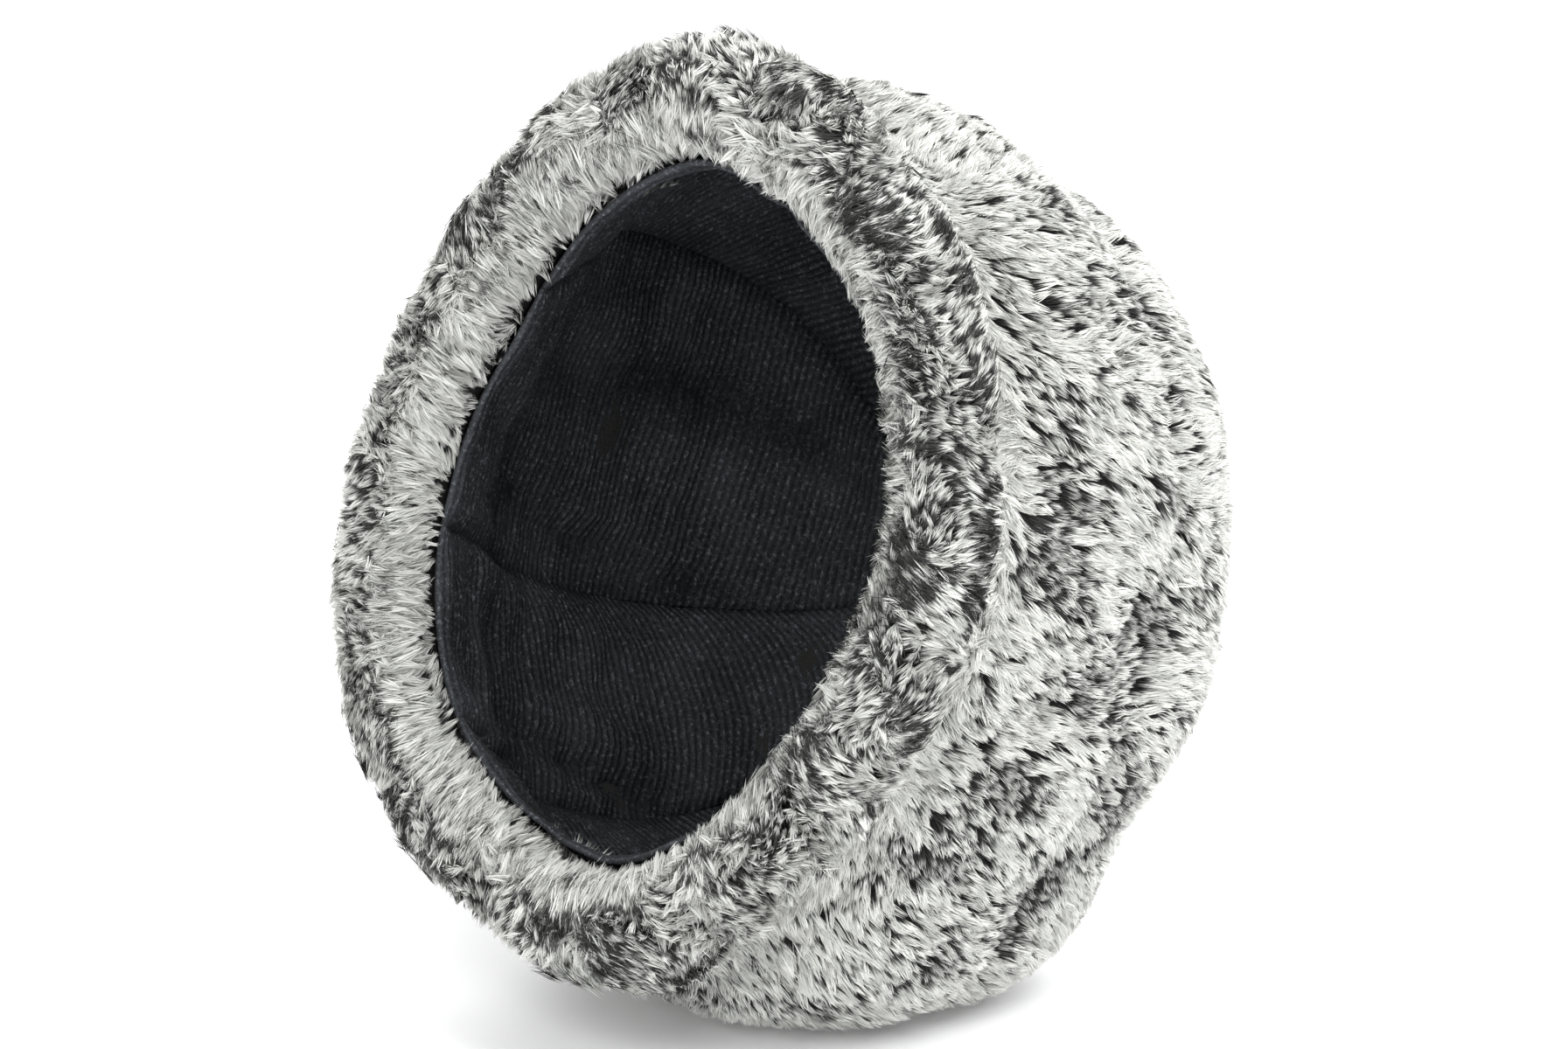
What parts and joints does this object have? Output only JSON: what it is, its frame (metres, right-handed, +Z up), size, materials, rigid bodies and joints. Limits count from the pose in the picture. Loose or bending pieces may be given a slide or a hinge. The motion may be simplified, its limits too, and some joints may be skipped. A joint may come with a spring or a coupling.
{
  "type": "faux fur hat",
  "caption": "Soft winter hat with a thick rolled fur cuff, a padded fur crown and a dark ribbed knit lining, lying on its side with the opening facing the front.",
  "frame": {"origin": "on the surface that the hat lies on, under the middle of its box", "axes": "+Z up from that surface; the opening faces -Y and 16 degrees up, and the crown's end points to +Y; +X is the hat's right side seen from the front"},
  "size_m": [0.2284, 0.2066, 0.2692],
  "materials": {
    "cuff_fur": "deep coarse pile, charcoal at the roots and silver white at the tips",
    "crown_fur": "deep fine pile, charcoal at the roots and silver white at the tips",
    "lining_knit": "brushed ribbed knit, near black"
  },
  "bodies": {
    "root": {"cuff": "cuff_fur", "crown_side": "crown_fur", "crown_top": "crown_fur", "lining_gore_1": "lining_knit", "lining_gore_2": "lining_knit", "lining_gore_3": "lining_knit", "lining_gore_4": "lining_knit", "lining_gore_5": "lining_knit", "lining_gore_6": "lining_knit"}
  },
  "joints": []
}
